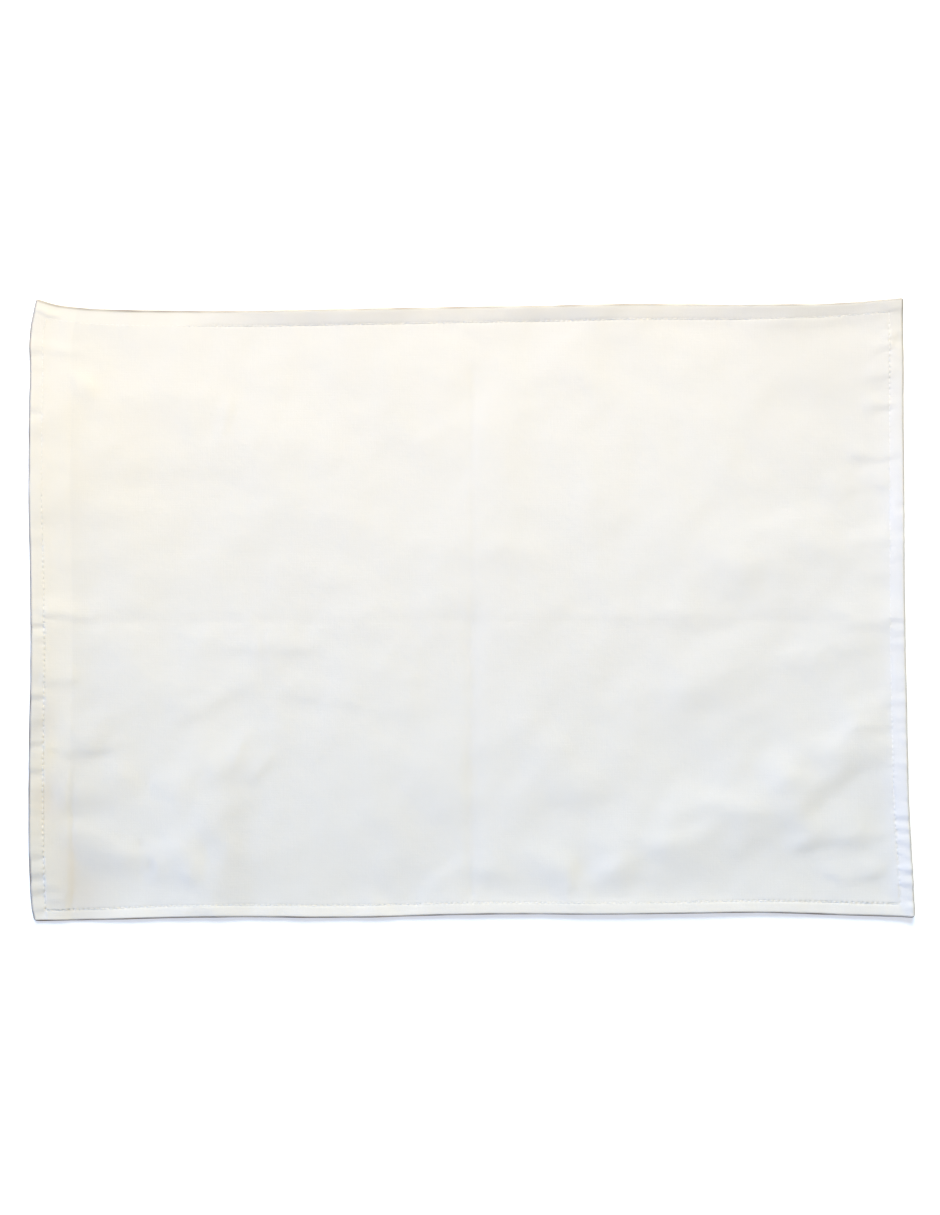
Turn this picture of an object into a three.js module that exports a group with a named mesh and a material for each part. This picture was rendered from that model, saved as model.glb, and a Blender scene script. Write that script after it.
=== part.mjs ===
// A small white cotton tablecloth, laid flat and face up on a table.
// It is one panel with all four edges turned under twice and sewn down, so it is one solid.
// Millimetres, +Z up. X runs along the long side and +Y to the far long side.
// The origin is the middle of the outline, on the surface that the cloth lies on.

import * as THREE from 'three';

// Driving sizes of the finished cloth
const clothLength = 508;
const clothWidth = 356;
const halfLength = clothLength / 2;
const halfWidth = clothWidth / 2;
const sheetThickness = 1.1;

// The turned edge, seen in section from the outer edge inwards. Rise is a share of the edge's puff.
const rimInset = 0.6;
const rimHeightShare = 0.45;
const cornerTuck = 0.7;
const hemSection = [
  { inset: 0, rise: 0.5 },
  { inset: 1.8, rise: 1 },
  { inset: 4.6, rise: 0.8 },
  { inset: 7.4, rise: 0.12 },
  { inset: 9.6, rise: 0.35 },
  { inset: 14, rise: 0 },
];
const hemReach = hemSection[hemSection.length - 1].inset;

// The short left edge has a wide allowance under the sheet, which shows as a raised band
const allowance = { width: 24.4, rise: 0.3, softness: 0.8 };

// Each edge from end to end: how far it strays out from the straight edge, and how far its roll puffs up
const farEdge = [
  { along: -254, out: 3.0, puff: 0.4 },
  { along: -245, out: 0.2, puff: 0.3 },
  { along: -228, out: -2.2, puff: 0.2 },
  { along: -205, out: -3.4, puff: 0.2 },
  { along: -168, out: -3.9, puff: 0.3 },
  { along: -145, out: -4.0, puff: 0.8 },
  { along: -112, out: -3.7, puff: 1.1 },
  { along: -18, out: -1.9, puff: 1.0 },
  { along: 60, out: -0.7, puff: 1.1 },
  { along: 105, out: 0.0, puff: 1.0 },
  { along: 160, out: -0.4, puff: 1.1 },
  { along: 215, out: 0.4, puff: 1.1 },
  { along: 254, out: 3.3, puff: 0.9 },
];
const nearEdge = [
  { along: -254, out: 3.3, puff: 0.9 },
  { along: -228, out: 3.0, puff: 0.8 },
  { along: -158, out: 1.3, puff: 0.9 },
  { along: -65, out: 1.3, puff: 1.0 },
  { along: 5, out: -0.5, puff: 1.1 },
  { along: 75, out: -0.5, puff: 1.1 },
  { along: 168, out: -1.4, puff: 1.0 },
  { along: 215, out: 0.1, puff: 0.9 },
  { along: 254, out: 1.1, puff: 1.1 },
];
const leftEdge = [
  { along: -178, out: 0.6, puff: 0.9 },
  { along: -170, out: 2.2, puff: 0.9 },
  { along: -146, out: 3.5, puff: 1.0 },
  { along: -102, out: 4.0, puff: 1.0 },
  { along: -15, out: 2.9, puff: 1.0 },
  { along: 73, out: 4.0, puff: 0.9 },
  { along: 131, out: 3.4, puff: 0.7 },
  { along: 166, out: 2.3, puff: 0.5 },
  { along: 178, out: -0.6, puff: 0.4 },
];
const rightEdge = [
  { along: -178, out: 3.9, puff: 1.2 },
  { along: -156, out: 2.9, puff: 1.4 },
  { along: -112, out: 0.5, puff: 1.4 },
  { along: -54, out: -0.7, puff: 1.4 },
  { along: 4, out: -1.9, puff: 1.3 },
  { along: 85, out: -2.4, puff: 1.2 },
  { along: 151, out: -2.5, puff: 1.0 },
  { along: 178, out: -3.0, puff: 0.9 },
];

// Soft ridges where the cloth stands off the table. The crest runs from the left or from the near side,
// lit is its reach on the left of that way and shade its reach on the right.
const ridges = [
  { crest: [[186, -115], [198, -103], [211, -90], [226, -79], [248, -72]], lit: 34, shade: 15, height: 1.6 },
  { crest: [[30, -172], [88, -146], [138, -124], [180, -115], [218, -108]], lit: 40, shade: 34, height: 2.0 },
  { crest: [[176, -136], [200, -135], [225, -131], [252, -126]], lit: 24, shade: 9, height: 1.1 },
  { crest: [[192, -154], [212, -154], [228, -154], [256, -152]], lit: 13, shade: 7, height: 0.7 },
  { crest: [[206, -70], [224, -68], [236, -66], [256, -64]], lit: 20, shade: 7, height: 0.6 },
  { crest: [[104, -62], [130, -45], [160, -30], [200, -24], [240, -20]], lit: 25, shade: 25, height: 0.6 },
  { crest: [[120, 8], [150, 20], [175, 30], [205, 37], [244, 44]], lit: 30, shade: 24, height: 0.9 },
  { crest: [[200, -8], [220, -7], [234, -5], [256, -3]], lit: 16, shade: 8, height: 0.6 },
  { crest: [[198, 66], [218, 70], [232, 73], [254, 76]], lit: 14, shade: 8, height: 0.5 },
  { crest: [[36, -3], [80, -4], [120, -5], [165, -5]], lit: 14, shade: 8, height: 0.3 },
  { crest: [[-258, 0], [-240, -1], [-228, -3], [-196, -4]], lit: 13, shade: 7, height: 0.7 },
  { crest: [[-260, -76], [-241, -80], [-228, -79], [-190, -75]], lit: 26, shade: 9, height: 0.9 },
  { crest: [[-250, -104], [-228, -104], [-210, -100], [-186, -94]], lit: 22, shade: 18, height: 0.9 },
  { crest: [[-244, -129], [-226, -134], [-208, -143], [-186, -156]], lit: 18, shade: 12, height: 1.0 },
  { crest: [[-200, -148], [-184, -149], [-168, -149], [-146, -151]], lit: 20, shade: 12, height: 0.9 },
  { crest: [[-151, -184], [-150, -145], [-146, -104], [-130, -60]], lit: 34, shade: 26, height: 1.3 },
  { crest: [[-14, -150], [10, -151], [30, -151], [52, -150], [70, -146]], lit: 34, shade: 15, height: 0.9 },
  { crest: [[132, 166], [175, 166], [205, 167], [246, 172]], lit: 7, shade: 8, height: 0.3 },
];
const crestSteps = 24;
const ridgeFade = 0.3;

// Pressed creases, sunk into the upper face along straight lines
const creases = [
  { across: 'x', at: 0, from: -170, to: 124, reach: 2.4, depth: 0.22 },
  { across: 'y', at: -6, from: -190, to: 240, reach: 3, depth: 0.25 },
  { across: 'x', at: -122, from: -168, to: 82, reach: 4, depth: 0.12 },
  { across: 'x', at: -233, from: -172, to: 20, reach: 2, depth: 0.16 },
];
const creaseFade = 20;

// Stretches of the mesh between the hems, with the number of cells in each
const cellsAcross = [
  { to: -halfLength + 23.6, cells: 1 },
  { to: -halfLength + 25.4, cells: 1 },
  { to: -150, cells: 9 },
  { to: -1.8, cells: 10 },
  { to: 1.8, cells: 2 },
  { to: 125, cells: 9 },
  { to: halfLength - hemReach, cells: 14 },
];
const cellsUp = [
  { to: -60, cells: 14 },
  { to: -9, cells: 4 },
  { to: -3, cells: 2 },
  { to: 60, cells: 5 },
  { to: halfWidth - hemReach, cells: 9 },
];

const cotton = new THREE.MeshStandardMaterial({ color: 0xf3f1ec, roughness: 0.9, metalness: 0 });

function clamp(value, low, high) {
  return Math.min(Math.max(value, low), high);
}

function smoothStep(value) {
  const share = clamp(value, 0, 1);
  return share * share * (3 - 2 * share);
}

// A smooth line through one column of a table, with the rows placed by another column
function readTable(rows, place, column, value) {
  const last = rows.length - 1;
  const at = clamp(value, rows[0][place], rows[last][place]);
  let row = 0;
  while (row < last - 1 && at > rows[row + 1][place]) row += 1;
  const slope = (first, second) =>
    (rows[second][column] - rows[first][column]) / (rows[second][place] - rows[first][place]);
  const gap = rows[row + 1][place] - rows[row][place];
  const share = (at - rows[row][place]) / gap;
  const leaving = slope(Math.max(row - 1, 0), row + 1) * gap;
  const arriving = slope(row, Math.min(row + 2, last)) * gap;
  const start = rows[row][column];
  const end = rows[row + 1][column];
  const square = share * share;
  const cube = square * share;
  return (2 * cube - 3 * square + 1) * start + (cube - 2 * square + share) * leaving
    + (3 * square - 2 * cube) * end + (cube - square) * arriving;
}

// A place on the straight rectangle, moved so that its edges follow the real outline
function placeOnCloth(u, v) {
  const right = (u + halfLength) / clothLength;
  const far = (v + halfWidth) / clothWidth;
  const x = u - (1 - right) * readTable(leftEdge, 'along', 'out', v)
    + right * readTable(rightEdge, 'along', 'out', v);
  const y = v - (1 - far) * readTable(nearEdge, 'along', 'out', u)
    + far * readTable(farEdge, 'along', 'out', u);
  return new THREE.Vector2(x, y);
}

function crestPoints(ridge) {
  const bends = ridge.crest.map(([x, y]) => new THREE.Vector2(x, y));
  return new THREE.SplineCurve(bends).getPoints(crestSteps);
}

const crestLines = ridges.map(crestPoints);

// How high one ridge lifts the cloth at a place: a soft swell that fades at both ends of its crest
function ridgeLift(ridge, points, place) {
  let nearest = Infinity;
  let share = 0;
  let side = 0;
  for (let step = 0; step < crestSteps; step += 1) {
    const way = points[step + 1].clone().sub(points[step]);
    const offset = place.clone().sub(points[step]);
    const along = clamp(offset.dot(way) / way.lengthSq(), 0, 1);
    const distance = offset.clone().addScaledVector(way, -along).length();
    if (distance < nearest) {
      nearest = distance;
      share = (step + along) / crestSteps;
      side = way.cross(offset);
    }
  }
  const reach = side > 0 ? ridge.lit : ridge.shade;
  if (nearest >= reach) return 0;
  const swell = (1 + Math.cos(Math.PI * nearest / reach)) / 2;
  const fade = smoothStep(share / ridgeFade) * smoothStep((1 - share) / ridgeFade);
  return ridge.height * swell * fade;
}

function liftAt(place) {
  return ridges.reduce((sum, ridge, index) => sum + ridgeLift(ridge, crestLines[index], place), 0);
}

function creaseDepth(place) {
  let depth = 0;
  for (const crease of creases) {
    const distance = Math.abs(place[crease.across] - crease.at);
    const along = crease.across === 'x' ? place.y : place.x;
    const starting = smoothStep((along - crease.from) / creaseFade);
    const ending = smoothStep((crease.to - along) / creaseFade);
    depth += crease.depth * Math.max(0, 1 - distance / crease.reach) * starting * ending;
  }
  return depth;
}

function hemRise(inset, puff) {
  return inset >= hemReach ? 0 : puff * readTable(hemSection, 'inset', 'rise', inset);
}

function thicknessAt(u, v, place) {
  const longHem = v > 0
    ? hemRise(halfWidth - v, readTable(farEdge, 'along', 'puff', u))
    : hemRise(halfWidth + v, readTable(nearEdge, 'along', 'puff', u));
  const shortHem = u > 0
    ? hemRise(halfLength - u, readTable(rightEdge, 'along', 'puff', v))
    : hemRise(halfLength + u, readTable(leftEdge, 'along', 'puff', v));
  const insetFromBand = (allowance.width - halfLength - u) / allowance.softness;
  const band = allowance.rise * smoothStep(0.5 + insetFromBand / 2);
  return sheetThickness + Math.hypot(longHem, shortHem) + band - creaseDepth(place);
}

// Mesh lines from one hem to the other: close together in the hems, then the stretches in between
function meshLines(half, stretches) {
  const insets = hemSection.map((row) => row.inset).slice(1);
  const lines = [-half + rimInset, ...insets.map((inset) => -half + inset)];
  for (const { to, cells } of stretches) {
    const start = lines[lines.length - 1];
    for (let cell = 1; cell <= cells; cell += 1) {
      lines.push(start + (to - start) * cell / cells);
    }
  }
  const farInsets = insets.slice(0, -1).reverse();
  return [...lines, ...farInsets.map((inset) => half - inset), half - rimInset];
}

function makeCloth() {
  const linesAcross = meshLines(halfLength, cellsAcross);
  const linesUp = meshLines(halfWidth, cellsUp);
  const columns = linesAcross.length;
  const rows = linesUp.length;
  const lastColumn = columns - 1;
  const lastRow = rows - 1;
  const upper = [];
  const under = [];
  for (const v of linesUp) {
    for (const u of linesAcross) {
      const place = placeOnCloth(u, v);
      const lift = liftAt(place);
      upper.push([place.x, place.y, lift + thicknessAt(u, v, place)]);
      under.push([place.x, place.y, lift]);
    }
  }

  // The outermost line of the cloth goes round once, half way down the rounded edge
  const round = [];
  for (let column = 0; column < lastColumn; column += 1) round.push([column, 0]);
  for (let row = 0; row < lastRow; row += 1) round.push([lastColumn, row]);
  for (let column = lastColumn; column > 0; column -= 1) round.push([column, lastRow]);
  for (let row = lastRow; row > 0; row -= 1) round.push([0, row]);
  const rim = round.map(([column, row]) => {
    const sideways = Math.sign((column === lastColumn) - (column === 0));
    const endways = Math.sign((row === lastRow) - (row === 0));
    const tuck = sideways !== 0 && endways !== 0 ? cornerTuck : 0;
    const u = linesAcross[column] + sideways * (rimInset - tuck);
    const v = linesUp[row] + endways * (rimInset - tuck);
    const place = placeOnCloth(u, v);
    const index = row * columns + column;
    const low = under[index][2];
    return [place.x, place.y, low + (upper[index][2] - low) * rimHeightShare];
  });

  const faces = [];
  const addQuad = (a, b, c, d) => faces.push(a, b, c, a, c, d);
  const underStart = upper.length;
  const rimStart = underStart + under.length;
  for (let row = 0; row < lastRow; row += 1) {
    for (let column = 0; column < lastColumn; column += 1) {
      const a = row * columns + column;
      const b = a + 1;
      const c = b + columns;
      const d = a + columns;
      addQuad(a, b, c, d);
      addQuad(underStart + b, underStart + a, underStart + d, underStart + c);
    }
  }
  for (let step = 0; step < round.length; step += 1) {
    const next = (step + 1) % round.length;
    const here = round[step][1] * columns + round[step][0];
    const there = round[next][1] * columns + round[next][0];
    addQuad(rimStart + step, rimStart + next, there, here);
    addQuad(underStart + here, underStart + there, rimStart + next, rimStart + step);
  }

  const geometry = new THREE.BufferGeometry();
  const positions = [...upper, ...under, ...rim].flat();
  geometry.setAttribute('position', new THREE.Float32BufferAttribute(positions, 3));
  geometry.setIndex(faces);
  geometry.computeVertexNormals();
  return geometry;
}

const cloth = new THREE.Mesh(makeCloth(), cotton);
cloth.name = 'cloth';

const group = new THREE.Group();
group.add(cloth);

export default group;
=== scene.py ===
import math
from collections import namedtuple

import bmesh
import bpy
import numpy as np
from mathutils import Matrix, Vector, noise


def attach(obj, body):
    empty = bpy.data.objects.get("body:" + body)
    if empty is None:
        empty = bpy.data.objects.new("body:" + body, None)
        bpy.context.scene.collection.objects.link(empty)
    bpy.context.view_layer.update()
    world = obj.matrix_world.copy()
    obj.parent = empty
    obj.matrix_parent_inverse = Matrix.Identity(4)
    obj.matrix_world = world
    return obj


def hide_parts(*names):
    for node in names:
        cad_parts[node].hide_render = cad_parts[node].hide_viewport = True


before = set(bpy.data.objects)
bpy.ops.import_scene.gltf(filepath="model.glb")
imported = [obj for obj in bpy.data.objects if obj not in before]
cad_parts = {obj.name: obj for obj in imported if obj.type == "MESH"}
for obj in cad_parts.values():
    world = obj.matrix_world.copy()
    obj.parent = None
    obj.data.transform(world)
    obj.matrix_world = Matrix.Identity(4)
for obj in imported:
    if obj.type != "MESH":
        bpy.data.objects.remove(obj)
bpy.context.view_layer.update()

# Cotton panel. The real cloth is one piece of white plain-weave cotton, about 0.4 mm thick.
# All four edges are turned under twice and sewn, so each hem is a soft roll of three layers.
# It has been folded and pressed, and now lies flat with soft folds by its corners.
# The tables are in millimetres, and the mesh is made in metres.
MM = 0.001
cloth_length = 508.0
cloth_width = 356.0
half_length = cloth_length / 2
half_width = cloth_width / 2
cotton_thickness = 0.42
least_thickness = 0.15
allowance_width = 24.4
allowance_edge = 1.2
allowance_onset = 2.0
layer_step = 0.34
layer_settling = 6.0

# Each edge: where it runs out from the straight line, how much wider its hem is there, how much the
# hem puffs up, how high its seam sits, how soon the cloth comes down inside it, how hard the thread
# pulls and how much it ripples. A puff below zero presses the hem flat.
EdgeRow = namedtuple("EdgeRow", "along out wide puff seat drop pull ripple")
far_edge = [
    EdgeRow(-254, 3.0, 1.0, -0.5, 0.0, 0.0, 0.1, 0.1),
    EdgeRow(-245, 0.2, 1.2, -0.5, 0.0, 0.0, 0.1, 0.1),
    EdgeRow(-228, -2.2, 1.4, -0.5, 0.0, 0.0, 0.1, 0.1),
    EdgeRow(-205, -3.4, 1.6, -0.5, 0.0, 0.0, 0.1, 0.1),
    EdgeRow(-168, -3.9, 1.7, -0.4, 0.0, 0.0, 0.2, 0.1),
    EdgeRow(-145, -4.0, 1.7, 0.4, 0.1, 0.0, 0.5, 0.2),
    EdgeRow(-112, -3.7, 1.8, 1.25, 0.1, 0.0, 0.6, 0.2),
    EdgeRow(-70, -2.9, 1.9, 1.75, 0.1, 0.0, 0.6, 0.2),
    EdgeRow(-18, -1.9, 1.9, 1.1, 0.1, 0.0, 0.6, 0.2),
    EdgeRow(60, -0.7, 1.8, 1.9, 0.1, 0.1, 0.6, 0.2),
    EdgeRow(105, 0.0, 1.5, 0.85, 0.1, 0.2, 0.6, 0.3),
    EdgeRow(160, -0.4, 1.3, 1.5, 0.1, 0.4, 0.6, 0.4),
    EdgeRow(215, 0.4, 0.2, 1.3, 0.2, 0.8, 0.4, 0.6),
    EdgeRow(254, 3.3, 0.0, 0.9, 0.2, 0.8, 0.4, 0.6),
]
near_edge = [
    EdgeRow(-254, 3.3, -1.0, 0.2, 0.1, 0.0, 1.3, 0.6),
    EdgeRow(-228, 3.0, -0.8, 0.2, 0.1, 0.0, 1.2, 0.5),
    EdgeRow(-185, 1.9, 0.0, 0.8, 0.1, 0.1, 0.8, 0.4),
    EdgeRow(-158, 1.3, 0.2, 0.8, 0.1, 0.2, 0.7, 0.3),
    EdgeRow(-65, 1.3, 0.2, 0.85, 0.2, 0.3, 0.8, 0.25),
    EdgeRow(5, -0.5, 0.0, 0.95, 0.6, 0.5, 0.7, 0.25),
    EdgeRow(75, -0.5, 0.0, 1.35, 0.9, 0.8, 0.5, 0.25),
    EdgeRow(115, -0.9, 0.0, 1.4, 0.9, 0.7, 0.6, 0.3),
    EdgeRow(168, -1.4, 0.2, 0.9, 0.4, 0.3, 0.9, 0.4),
    EdgeRow(215, 0.1, 0.7, 0.8, 0.4, 0.4, 1.4, 0.6),
    EdgeRow(254, 1.1, 0.7, 0.8, 0.5, 0.7, 1.4, 0.6),
]
left_edge = [
    EdgeRow(-178, 0.6, 0.5, 0.3, 0.2, 0.0, 0.9, 1.0),
    EdgeRow(-170, 2.2, 0.6, 0.3, 0.2, 0.0, 1.0, 1.3),
    EdgeRow(-146, 3.5, 0.8, 0.3, 0.2, 0.0, 1.0, 1.3),
    EdgeRow(-102, 4.0, 0.8, 0.3, 0.1, 0.0, 0.9, 0.9),
    EdgeRow(-15, 2.9, 0.4, 0.4, 0.1, 0.0, 0.7, 0.7),
    EdgeRow(73, 4.0, 0.0, 0.3, 0.1, 0.0, 0.35, 0.4),
    EdgeRow(131, 3.4, 0.0, 0.2, 0.1, 0.0, 0.2, 0.4),
    EdgeRow(166, 2.3, 0.0, 0.1, 0.1, 0.0, 0.15, 0.2),
    EdgeRow(178, -0.6, 0.0, 0.1, 0.1, 0.0, 0.1, 0.1),
]
right_edge = [
    EdgeRow(-178, 3.9, 0.0, 1.6, 0.4, 0.8, 0.5, 1.6),
    EdgeRow(-156, 2.9, 0.0, 2.3, 0.6, 0.8, 0.5, 2.4),
    EdgeRow(-112, 0.5, 0.4, 2.4, 0.6, 0.8, 0.5, 2.2),
    EdgeRow(-54, -0.7, 0.7, 2.3, 0.7, 0.7, 0.2, 1.5),
    EdgeRow(4, -1.9, 0.3, 2.3, 0.7, 0.6, 0.2, 1.2),
    EdgeRow(85, -2.4, 0.0, 2.0, 0.6, 0.5, 0.2, 1.2),
    EdgeRow(120, -2.5, 0.0, 1.1, 0.4, 0.5, 0.5, 1.2),
    EdgeRow(151, -2.5, 0.0, 0.1, 0.2, 0.3, 0.8, 1.2),
    EdgeRow(178, -3.0, 0.0, 0.0, 0.1, 0.0, 0.5, 0.8),
]

# A wider hem pushes the cloth inside it in, over this distance
wide_reach = 30.0

# Each side's hem: its seam's inset, the stitch pitch, and the sides that it meets at its corners
Side = namedtuple("Side", "name edge seam pitch meets")
sides = [
    Side("far", far_edge, 7.4, 2.99, ("left", "right")),
    Side("near", near_edge, 7.0, 2.99, ("left", "right")),
    Side("left", left_edge, 7.6, 3.15, ("near", "far")),
    Side("right", right_edge, 8.3, 3.15, ("near", "far")),
]
seam_inset = {side.name: side.seam for side in sides}

# A hem in section, from its outer fold to its inner one, for a seam 7.5 mm in from the edge.
# Top is the height of three flat layers, puff is what the roll adds and seat what a high seam adds.
# Under is the lower face.
model_seam = 7.5
HemRow = namedtuple("HemRow", "inset top puff seat under")
hem_section = [
    HemRow(0.0, 0.80, 0.35, 0.10, 0.45),
    HemRow(0.3, 1.04, 0.75, 0.12, 0.20),
    HemRow(0.6, 1.18, 0.93, 0.15, 0.06),
    HemRow(1.0, 1.26, 1.00, 0.20, 0.0),
    HemRow(1.8, 1.24, 0.95, 0.30, 0.0),
    HemRow(3.4, 1.12, 0.74, 0.50, 0.0),
    HemRow(5.8, 0.96, 0.40, 0.78, 0.0),
    HemRow(7.0, 0.88, 0.20, 0.92, 0.04),
    HemRow(7.5, 0.85, 0.12, 0.97, 0.20),
    HemRow(8.0, 0.83, 0.06, 1.00, 0.06),
]
hem_width = hem_section[-1].inset

# Past a hem's inner fold the cloth comes down over the quick drop, the slow drop or a length between
# them. The seam lies in a shallow groove, and where two hems cross, the lower one adds a share of its
# height.
inner_fold = 0.5
quick_drop = 4.0
slow_drop = 12.0
seam_groove = 0.05
seam_groove_width = 0.7
corner_radius = {("left", "far"): 1.2, ("right", "far"): 1.2, ("left", "near"): 2.0, ("right", "near"): 2.6}
corner_stacking = 0.35

# Soft folds where the cloth stands off the table. A crest runs from the left or from the near side.
# Lit is its reach to the left of that way and shade its reach to the right. Sharp is how hard the
# shade side ends, or where it is below zero how sharp the crest is. Starts and ends are the lengths
# over which the fold fades in and out.
Fold = namedtuple("Fold", "crest lit shade height sharp starts ends")
folds = [
    Fold([(182, -117), (197, -103), (211, -91), (226, -81), (248, -74.5)], 34, 15, 1.5, 0.3, 22, 20),
    Fold([(30, -172), (88, -146), (138, -124), (180, -115), (210, -108)], 40, 34, 2.0, -0.5, 50, 30),
    Fold([(172, -134), (191, -133.5), (206, -132), (225, -129), (243, -125.5)], 24, 9, 0.95, 0.8, 26, 22),
    Fold([(198, -153.5), (212, -155), (228, -155.5), (246, -154.5)], 13, 5, 0.6, 0.2, 14, 16),
    Fold([(214, -70), (224, -68), (236, -66.5), (248, -64.5)], 20, 6, 0.5, 0.3, 10, 6),
    Fold([(206, -9), (220, -7.5), (234, -5.5), (248, -3)], 16, 8, 0.5, 0.0, 16, 6),
    Fold([(120, 8), (150, 20), (175, 30), (205, 37), (240, 44)], 30, 24, 0.9, 0.0, 40, 30),
    Fold([(200, 66), (218, 70), (232, 73.5), (247, 76)], 14, 7, 0.35, 0.4, 16, 8),
    Fold([(210, 39), (226, 40.5), (247, 43)], 10, 7, 0.3, 0.0, 14, 8),
    Fold([(216, 20), (230, 20), (247, 21)], 9, 6, 0.22, 0.0, 10, 6),
    Fold([(214, 90), (230, 90), (248, 91)], 10, 5, 0.35, 0.0, 12, 6),
    Fold([(226, 119), (237, 119.5), (248, 119.5)], 9, 4.5, 0.36, 0.0, 8, 6),
    Fold([(226, 137.5), (237, 137.5), (248, 138)], 8, 4.5, 0.34, 0.0, 8, 6),
    Fold([(229, 151.5), (239, 153), (247, 155)], 7, 4, 0.36, 0.0, 7, 4),
    Fold([(237, 158.5), (243, 159), (248, 159)], 5, 3, 0.24, 0.0, 4, 3),
    Fold([(140, 167), (175, 167.5), (205, 168.5), (222, 170.5), (240, 172.5)], 4, 7, 0.26, 0.0, 50, 8),
    Fold([(150, 45), (167, 47.5), (185, 51.5), (202, 56)], 14, 8, 0.14, 0.0, 20, 20),
    Fold([(100, -62), (130, -45), (160, -30), (190, -20)], 25, 25, 0.42, 0.0, 25, 25),
    Fold([(175, -36), (195, -28), (215, -22), (240, -20)], 14, 14, 0.4, 0.0, 18, 14),
    Fold([(46, -2.5), (90, -3.5), (125, -4), (170, -4.5)], 16, 9, 0.34, 0.0, 60, 24),
    Fold([(-253, 0.5), (-240, -1.5), (-228, -3.2), (-205, -3.6)], 13, 4.5, 0.55, 0.4, 7, 30),
    Fold([(-222, -7.5), (-195, -8), (-165, -8), (-150, -8)], 10, 8, -0.15, 0.0, 12, 12),
    Fold([(-254, -75), (-241, -80), (-228, -79), (-214, -77), (-196, -75)], 26, 8.5, 0.9, 0.9, 22, 26),
    Fold([(-246, -104), (-228, -104), (-210, -100), (-192, -94)], 22, 18, 0.85, 0.2, 12, 16),
    Fold([(-240, -129), (-226, -134), (-208, -143), (-190, -155)], 18, 12, 0.85, 0.7, 12, 16),
    Fold([(-196, -148), (-184, -149), (-168, -149), (-152, -151)], 20, 12, 0.75, 0.5, 14, 14),
    Fold([(-151, -184), (-150, -145), (-147, -110), (-139, -84), (-130, -64)], 34, 26, 1.25, 0.0, 10, 44),
    Fold([(-143, -96), (-139, -88), (-134, -76), (-130, -66)], 9, 5, 0.3, -0.5, 10, 10),
    Fold([(-128, -104), (-125, -97), (-119, -88), (-112, -80)], 8, 6, 0.25, 0.0, 8, 10),
    Fold([(-190, -104), (-178, -102), (-166, -103), (-156, -108)], 12, 10, 0.35, 0.3, 10, 10),
    Fold([(-236.5, -184), (-236.5, -150), (-236.5, -115), (-236, -84)], 15, 4.5, 0.35, 0.8, 5, 40),
    Fold([(-250, -160), (-244, -161), (-237, -162.5)], 5, 3, 0.25, 0.3, 3, 6),
    Fold([(-249, -168.5), (-243, -169), (-235, -169.5)], 4, 2.5, 0.2, 0.3, 3, 6),
    Fold([(-8, -150), (10, -151), (30, -151), (52, -150), (66, -147)], 34, 15, 0.8, 0.4, 20, 18),
    Fold([(54, -172), (57, -160), (59, -150), (61, -142)], 9, 5, 0.28, 0.4, 6, 8),
    Fold([(-52, -178), (-34, -162), (-16, -147), (6, -130)], 26, 10, -0.4, 0.0, 10, 18),
    Fold([(30, -112), (45, -88), (58, -68), (72, -48)], 16, 16, 0.32, 0.0, 24, 24),
    Fold([(40, -108), (55, -106), (70, -105), (84, -106)], 16, 12, 0.3, 0.0, 14, 14),
    Fold([(-178, -20), (-140, -21), (-110, -21), (-76, -22)], 16, 9, 0.3, 0.0, 26, 26),
    Fold([(-118, -47), (-92, -50), (-72, -52), (-52, -56)], 14, 8, 0.25, 0.0, 18, 18),
    Fold([(-180, -64), (-155, -55), (-138, -46), (-118, -37)], 16, 10, 0.32, 0.0, 18, 18),
    Fold([(-236, 131), (-228, 131), (-216, 130)], 10, 12, 0.28, 0.0, 6, 8),
    Fold([(-149, 92), (-146, 104), (-142, 116), (-138, 128)], 8, 6, 0.25, 0.0, 12, 12),
    Fold([(-262, 151), (-250, 151), (-232, 150), (-214, 148)], 10, 5, 0.28, 0.0, 4, 24),
    Fold([(-252, -39), (-246, -40), (-234, -41), (-220, -42)], 14, 5, 0.3, 0.0, 3, 14),
    Fold([(-258, 175.5), (-251, 174), (-245, 171.8), (-236, 170.5)], 4, 2.5, 0.3, 0.0, 3, 8),
    Fold([(-66, 92), (-54, 96), (-40, 102), (-28, 108)], 14, 8, 0.22, 0.0, 14, 14),
    Fold([(4, 38), (16, 38), (30, 40)], 12, 12, 0.22, 0.0, 10, 10),
]
crest_steps = 24

# Pressed creases along one line, where x or y stays at one value, sunk by their depth. Grey is how
# much painted shade darkens each crease.
Crease = namedtuple("Crease", "line at start end reach depth grey")
creases = [
    Crease("x", 0.0, -176, 150, 1.8, 0.14, 0.16),
    Crease("x", 0.4, -176, 0, 6.0, 0.35, 0.12),
    Crease("y", -6.3, -225, 235, 4.5, 0.10, 0.12),
    Crease("x", -121.0, -100, 40, 3.0, 0.12, 0.1),
    Crease("x", -232.6, -190, -84, 2.2, 0.15, 0.7),
]
crease_fade = 20.0

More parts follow.
